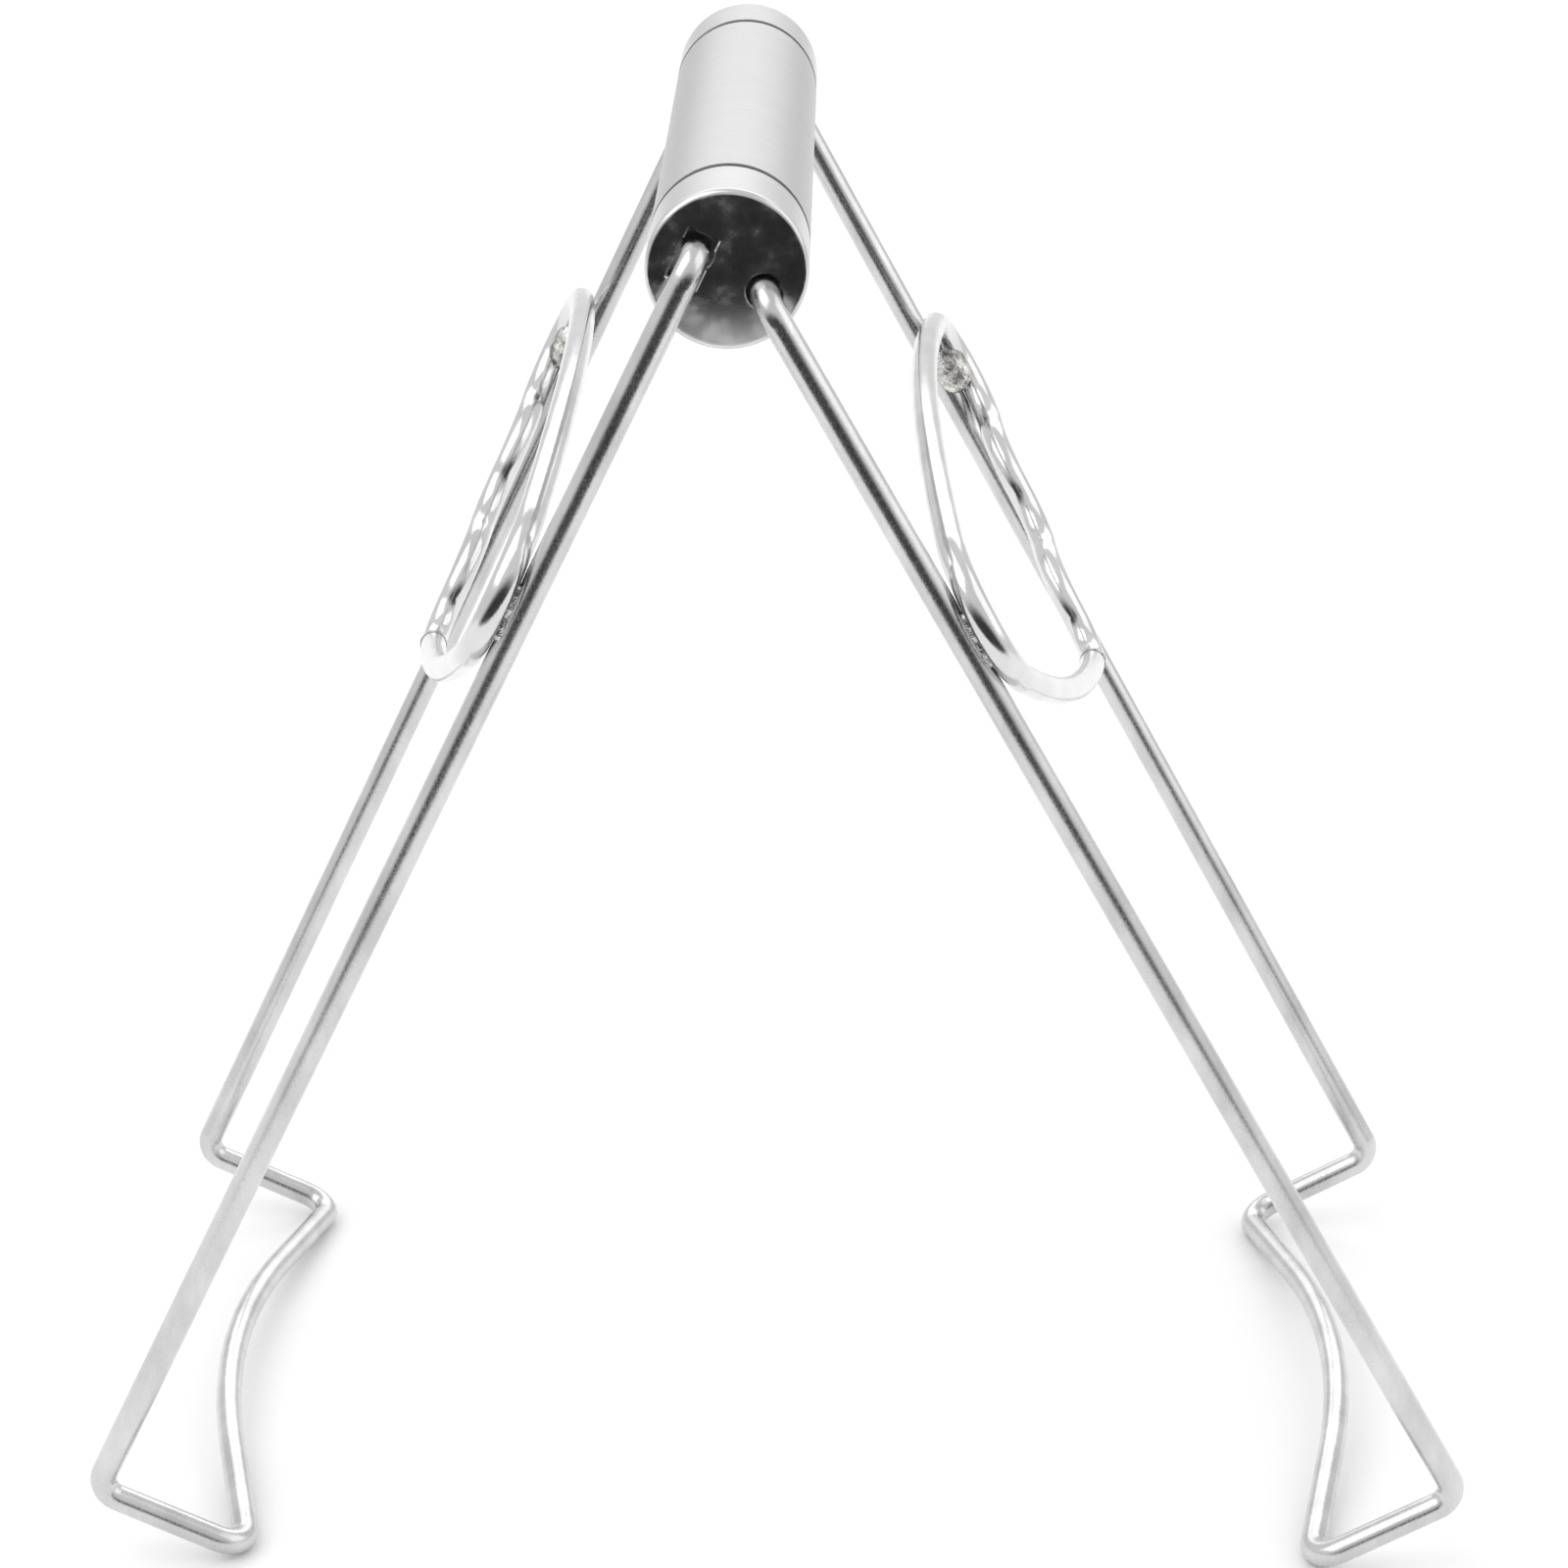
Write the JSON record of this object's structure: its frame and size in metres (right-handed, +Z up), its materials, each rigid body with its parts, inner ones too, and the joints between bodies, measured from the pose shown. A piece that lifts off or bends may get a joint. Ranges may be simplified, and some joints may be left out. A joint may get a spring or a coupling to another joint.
{
  "type": "jar lifter",
  "caption": "Canning jar lifter: a steel tube handle with two bent-wire frames that pivot in its ends, curved jaws at the feet and a finger ring on each frame.",
  "frame": {"origin": "on the floor, in the middle of the footprint, with the frames spread fully open", "axes": "+Z up; Y along the handle, with the front end cap facing -Y; X across the two frames, the swinging frame on +X"},
  "size_m": [0.2074, 0.134, 0.215],
  "materials": {
    "brushed_tube": "brushed round the tube",
    "polished_cap": "polished, with a finely brushed side",
    "bearing_plug": "turned, satin",
    "frame_wire": "satin drawn wire",
    "ring_wire": "satin drawn wire",
    "weld_steel": "rough weld"
  },
  "bodies": {
    "handle_and_left_frame": {"handle_tube": "brushed_tube", "front_end_cap": "polished_cap", "rear_end_cap": "polished_cap", "front_bearing_plug": "bearing_plug", "rear_bearing_plug": "bearing_plug", "left_wire_frame": "frame_wire", "left_finger_ring": "ring_wire", "left_ring_seam_weld": "weld_steel", "left_front_ring_weld": "weld_steel", "left_rear_ring_weld": "weld_steel"},
    "right_frame": {"right_wire_frame": "frame_wire", "right_finger_ring": "ring_wire", "right_ring_seam_weld": "weld_steel", "right_front_ring_weld": "weld_steel", "right_rear_ring_weld": "weld_steel"}
  },
  "joints": [
    {"name": "right_frame_pivot", "type": "hinge", "parent": "handle_and_left_frame", "child": "right_frame", "pos_m": [-0.00191, 0, 0.20106], "axis": [0, 1, 0], "range_deg": [0, 43.4]}
  ]
}
